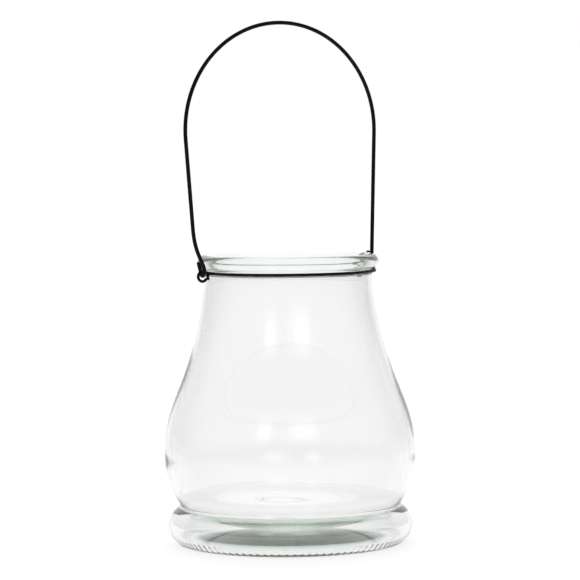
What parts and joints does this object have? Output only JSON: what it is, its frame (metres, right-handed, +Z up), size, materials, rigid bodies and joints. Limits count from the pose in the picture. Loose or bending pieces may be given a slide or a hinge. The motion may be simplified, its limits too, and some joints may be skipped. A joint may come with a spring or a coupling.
{
  "type": "jar lantern",
  "caption": "Bulbous clear glass jar with a rolled lip and half-round foot, a wire collar round its neck and a swinging wire bail handle to hang or carry it by.",
  "frame": {"origin": "on the jar's axis, at the plane its standing ring rests on", "axes": "+Z up along the jar's axis; +X along the handle's pivot line, from its left hook to its right one, seen from the side of the mould seam nearest -Y"},
  "size_m": [0.1254, 0.1254, 0.261],
  "materials": {
    "glass": "clear soda-lime glass, faint green in its thick parts",
    "collar_wire": "thin black annealed wire, satin",
    "handle_wire": "black coated wire, satin"
  },
  "bodies": {
    "jar": {"glass_jar": "glass", "collar_wire": "collar_wire"},
    "handle": {"bail_handle": "handle_wire"}
  },
  "joints": [
    {"name": "handle_swing", "type": "hinge", "parent": "jar", "child": "handle", "pos_m": [-0.0479, 0, 0.1377], "axis": [0.9999, 0, 0.0158], "range_deg": [-118, 118]}
  ]
}
